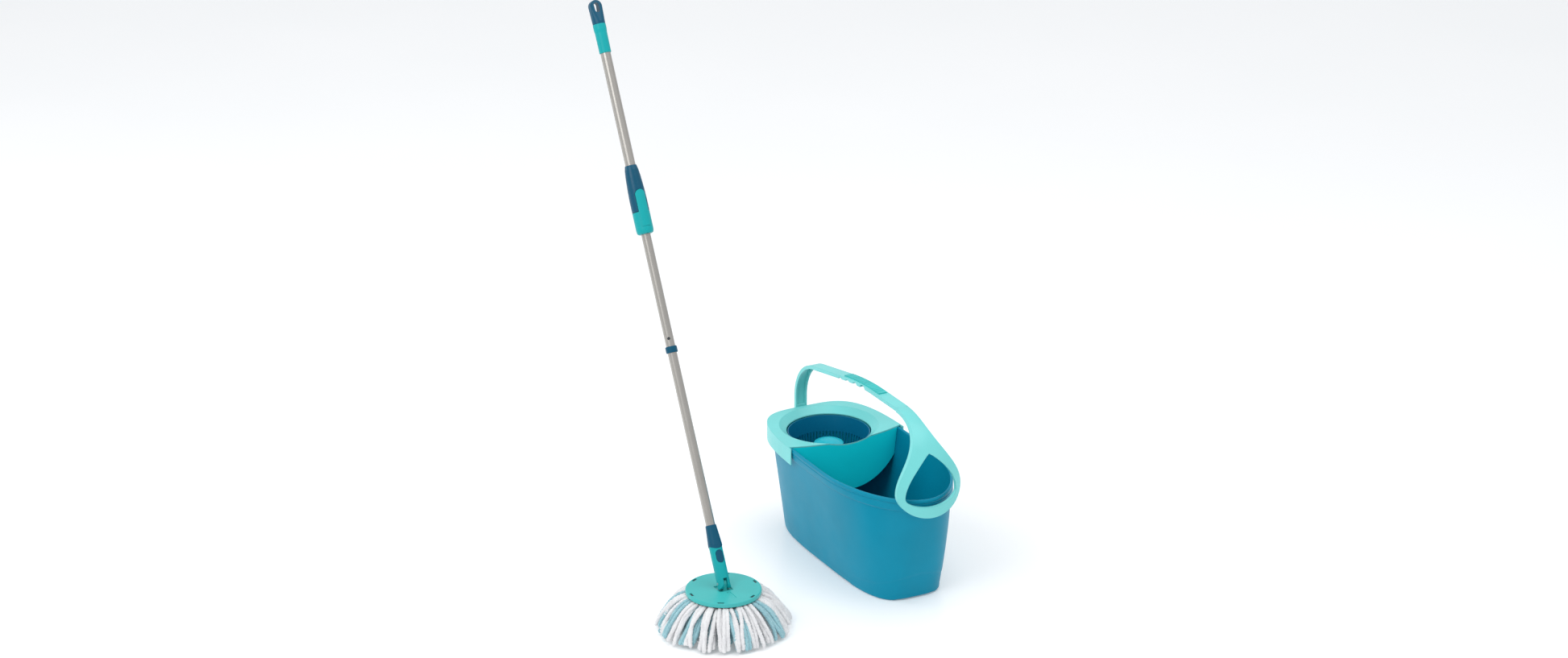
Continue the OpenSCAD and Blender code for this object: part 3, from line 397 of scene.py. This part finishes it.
def build_bucket():
    """Thin-walled bucket: feet, a panel sunk below an arched line at the nose, a rim band with a lip."""
    count, wall_steps, inner_steps = 288, 70, 40
    centre = Vector((0.02, 0.0))        # the panel sinks towards this place
    low_angles = even_angles(0.0, count)
    high_angles = even_angles(BUCKET_H, count)

    def ring(z, grow, dip=0.0):
        """The wall's outline at height z, grown outwards, and lifted by dip between the feet."""
        k = z / BUCKET_H
        out = []
        for lo, hi in zip(low_angles, high_angles):
            x, y = outline_point(lerp(lo, hi, k), z, grow)
            lift = dip * foot_gap(x, y)
            inset = nose_inset(x, y, z) if grow > -WALL else 0.0
            away = (Vector((x, y)) - centre).normalized() * inset
            out.append((x - away.x, y - away.y, z + lift))
        return out

    band = BUCKET_H - BAND_H
    # outer bottom edge: height, growth, lift between the feet
    profile = [(0.0, -6.0, 2.4), (0.5, -3.4, 2.2), (1.8, -1.4, 1.6), (4.0, -0.3, 0.6), (6.5, 0.0, 0.0)]
    rings = [ring(z * MM, grow * MM, dip * MM) for z, grow, dip in profile]
    rings += [ring(lerp(8 * MM, band - 2 * MM, i / wall_steps), 0.0) for i in range(wall_steps + 1)]
    # rim band from its lower edge up the outside, over the top and down the inside: height, growth
    lip = [(0.0, 0.5), (0.8, 2.2), (1.8, 3.6), (3.4, 4.3), (5.5, 4.5), (13.0, 4.5), (16.6, 4.5),
           (17.2, 4.2), (17.6, 3.4), (18.2, 3.3), (18.8, 3.9), (19.6, 4.4), (21.5, 4.5), (24.0, 4.4),
           (25.8, 3.9), (27.1, 2.9), (27.8, 1.6), (28.0, 0.3), (27.8, -1.0), (27.0, -2.1), (25.5, -2.6)]
    rings += [ring(band + dz * MM, grow * MM) for dz, grow in lip]
    rings += [ring(lerp(band + 23 * MM, 12 * MM, i / inner_steps), -WALL) for i in range(inner_steps + 1)]
    rings += [ring(z * MM, -WALL - grow * MM) for z, grow in [(9, 0.4), (6.2, 1.8), (4.2, 4.0), (3.0, 7.5)]]
    verts, faces = skin(rings)
    floor_in = len(verts) - count
    faces.append(tuple(range(count))[::-1])
    faces.append(tuple(floor_in + j for j in range(count)))
    obj = make_object("bucket_body", verts, faces, MATERIALS["bucket_blue"], "bucket")
    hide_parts("bucket_shell")


def foot_gap(x, y):
    """1 between the feet along the long sides and the ends, 0 on the feet."""
    side = smoothstep(*FOOT_GAP_X[0], x) - smoothstep(*FOOT_GAP_X[1], x)
    end = 1 - smoothstep(*FOOT_GAP_HALF, abs(y))
    return max(side, end)


def nose_inset(x, y, z):
    """Depth of the panel below the arched line at the nose end."""
    top = ARCH_TOP - ARCH_FALL * (y / ARCH_HALF) ** 2
    fade = smoothstep(*PANEL_FADE, x)
    below = 1 - smoothstep(top - 1.6 * MM, top + 0.6 * MM, z)
    return PANEL_DEPTH * fade * below * smoothstep(2 * MM, 12 * MM, z)


# ---------------------------------------------------------------- mop fringe

plate_low, plate_high = (Vector(c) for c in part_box("head_plate"))
fringe_low, fringe_high = (Vector(c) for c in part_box("mop_fringe"))
MOP = Vector(((plate_low.x + plate_high.x) / 2, (plate_low.y + plate_high.y) / 2, 0.0))
PLATE_R = (plate_high.x - plate_low.x) / 2
FRINGE_R = (fringe_high.x - fringe_low.x) / 2
PLATE_EDGE_Z = fringe_high.z + 3 * MM


def strand_path(angle, rng, reach, root_r, root_z, bow):
    """Centre line of one strand: out from under the plate, over a rounded shoulder, down to the floor."""
    end_r = reach + rng.uniform(-8.0, 2.0) * MM
    flick = rng.uniform(3.0, 11.0) * MM
    twist = rng.uniform(-0.10, 0.10)
    swing = rng.uniform(-7.0, 7.0) * MM
    phase = rng.uniform(0, 2 * math.pi)
    floor = rng.uniform(4.8, 8.0) * MM
    power = 2 / (bow + rng.uniform(-0.12, 0.12))
    points = []
    steps = 26
    for i in range(steps + 1):
        t = i / steps
        turn = t * math.pi / 2
        r = root_r + (end_r - root_r) * math.sin(turn) ** power + flick * smoothstep(0.6, 1.0, t)
        z = floor + (root_z - floor) * math.cos(turn) ** power
        side = swing * math.sin(math.pi * t * 1.5 + phase) * t
        a = angle + twist * t + side / max(r, 0.05)
        points.append(MOP + Vector((r * math.cos(a), r * math.sin(a), z)))
    return points


def resample(points, step):
    """Evenly spaced points along a polyline."""
    lengths = [0.0]
    for a, b in zip(points, points[1:]):
        lengths.append(lengths[-1] + (b - a).length)
    count = max(4, round(lengths[-1] / step))
    out, i = [], 0
    for k in range(count + 1):
        target = lengths[-1] * k / count
        while i < len(points) - 2 and lengths[i + 1] < target:
            i += 1
        part = (target - lengths[i]) / max(1e-9, lengths[i + 1] - lengths[i])
        out.append(points[i].lerp(points[i + 1], min(1.0, part)))
    return out


def strand_rings(points, radius, rng):
    """Rings of a nubby chenille strand, with a blunt rounded end."""
    sides = 12
    seed = Vector((rng.uniform(0, 50), rng.uniform(0, 50), rng.uniform(0, 50)))
    pitch = rng.uniform(5.2, 6.4) * MM
    rings = []
    total = len(points)
    for i, p in enumerate(points):
        ahead = points[min(i + 1, total - 1)] - points[max(i - 1, 0)]
        ahead.normalize()
        side = ahead.cross(Vector((0, 0, 1))).normalized()
        up = side.cross(ahead)
        left = (total - 1 - i) * (points[1] - points[0]).length
        cap = math.sqrt(max(0.02, 1 - max(0.0, 1 - left / radius) ** 2))
        ring = []
        for k in range(sides):
            a = 2 * math.pi * k / sides
            along = i * (points[1] - points[0]).length
            lobes = 0.14 * math.cos(2 * a + 2 * math.pi * along / pitch)
            fuzz = 0.26 * noise.noise(seed + Vector((math.cos(a), math.sin(a), along / (3.0 * MM))))
            r = radius * cap * (1 + lobes + fuzz)
            q = p + side * (r * math.cos(a)) + up * (r * math.sin(a))
            q.z = max(q.z, 0.0004)
            ring.append(q)
        rings.append(ring)
    return rings


def build_fringe():
    """Chenille strands in four layers, white with light blue ones among them."""
    rng = random.Random(7)
    top = PLATE_EDGE_Z
    # strands, reach, root radius, root height, bow, strand radius, share of blue
    layers = [
        (48, FRINGE_R - 15 * MM, PLATE_R - 8 * MM, top - 7.5 * MM, 1.85, 4.6 * MM, 0.10),
        (54, FRINGE_R - 17 * MM, PLATE_R - 12 * MM, top - 12 * MM, 1.80, 4.7 * MM, 0.42),
        (50, FRINGE_R - 26 * MM, PLATE_R - 18 * MM, top - 18 * MM, 1.75, 4.9 * MM, 0.60),
        (34, FRINGE_R - 52 * MM, PLATE_R - 32 * MM, top - 22 * MM, 1.75, 5.6 * MM, 0.40),
    ]
    meshes = {"white": ([], []), "blue": ([], [])}
    for count, reach, root_r, root_z, bow, radius, blue_share in layers:
        offset = rng.uniform(0, 1)
        for i in range(count):
            angle = 2 * math.pi * (i + offset + rng.uniform(-0.34, 0.34)) / count
            path = resample(strand_path(angle, rng, reach, root_r, root_z, bow), 1.9 * MM)
            rings = strand_rings(path, radius * rng.uniform(0.9, 1.08), rng)
            colour = "blue" if rng.random() < blue_share else "white"
            verts, faces = meshes[colour]
            start = len(verts)
            part_verts, part_faces = skin(rings)
            verts.extend(part_verts)
            faces.extend(tuple(start + k for k in face) for face in part_faces)
            n = len(rings[0])
            faces.append(tuple(start + k for k in range(n))[::-1])
            end = start + len(part_verts) - n
            faces.append(tuple(end + k for k in range(n)))
    for colour, material in (("white", MATERIALS["microfibre"]), ("blue", BLUE_YARN)):
        verts, faces = meshes[colour]
        obj = make_object(f"{colour}_strands", verts, faces, material, "mop_head")
        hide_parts("mop_fringe")


# ---------------------------------------------------------------- stage, light and camera

def build_stage():
    size = 30.0
    mesh = bpy.data.meshes.new("floor")
    corners = [(-size, -size, 0), (size, -size, 0), (size, size, 0), (-size, size, 0)]
    mesh.from_pydata(corners, [], [(0, 1, 2, 3)])
    floor = bpy.data.objects.new("floor", mesh)
    bpy.context.collection.objects.link(floor)
    mat, tree, shader = new_material("floor_paint")
    cloud = noise_value(tree, object_coords(tree), 1.5, 2.0)
    paint = ramp(tree, cloud, [(0.3, (0.93, 0.935, 0.94, 1)), (0.7, (0.95, 0.95, 0.955, 1))])
    tree.links.new(paint, shader.inputs["Base Color"])
    shader.inputs["Roughness"].default_value = 0.30
    shader.inputs["Specular IOR Level"].default_value = 0.45
    shader.inputs["Emission Color"].default_value = (0.97, 0.985, 1.0, 1)
    shader.inputs["Emission Strength"].default_value = 0.16
    mesh.materials.append(mat)


def add_area(name, place, target, size, energy, tint=(1, 1, 1)):
    light = bpy.data.lights.new(name, "AREA")
    light.shape = "RECTANGLE"
    light.size, light.size_y = size
    light.energy = energy
    light.color = tint
    obj = bpy.data.objects.new(name, light)
    obj.location = place
    obj.rotation_euler = (Vector(target) - Vector(place)).to_track_quat("-Z", "Y").to_euler()
    bpy.context.collection.objects.link(obj)


def build_light():
    world = bpy.data.worlds.new("studio")
    bpy.context.scene.world = world
    world.use_nodes = True
    background = world.node_tree.nodes["Background"]
    background.inputs["Color"].default_value = (0.96, 0.98, 1.0, 1)
    background.inputs["Strength"].default_value = 0.72
    centre = (0.0, -0.2, 0.35)
    add_area("key", (1.2, -3.4, 3.6), centre, (2.4, 2.4), 62)
    add_area("side", (-2.6, -3.0, 2.0), centre, (1.6, 2.6), 24)
    add_area("top", (0.6, 0.8, 4.2), centre, (3.0, 3.0), 48)


def build_camera():
    """Camera fitted to the product picture: about 62 degrees round from -Y and 21 degrees up."""
    data = bpy.data.cameras.new("camera")
    data.sensor_width = 36.0
    data.lens = 92.5
    data.clip_end = 100.0
    obj = bpy.data.objects.new("camera", data)
    right = Vector((0.4628, 0.8865, 0.0)).normalized()
    ahead = Vector((-0.8258, 0.4311, -0.3636)).normalized()
    up = right.cross(ahead).normalized()
    turn = Matrix((right, up, -ahead)).transposed().to_4x4()
    obj.matrix_world = Matrix.Translation((7.1679, -3.9362, 3.7324)) @ turn
    bpy.context.collection.objects.link(obj)
    bpy.context.scene.camera = obj


def set_look():
    scene = bpy.context.scene
    scene.view_settings.view_transform = "Standard"
    scene.view_settings.look = "None"


# ---------------------------------------------------------------- put together

dress_cad_nodes()
build_bucket()
build_fringe()
build_stage()
build_light()
build_camera()
set_look()
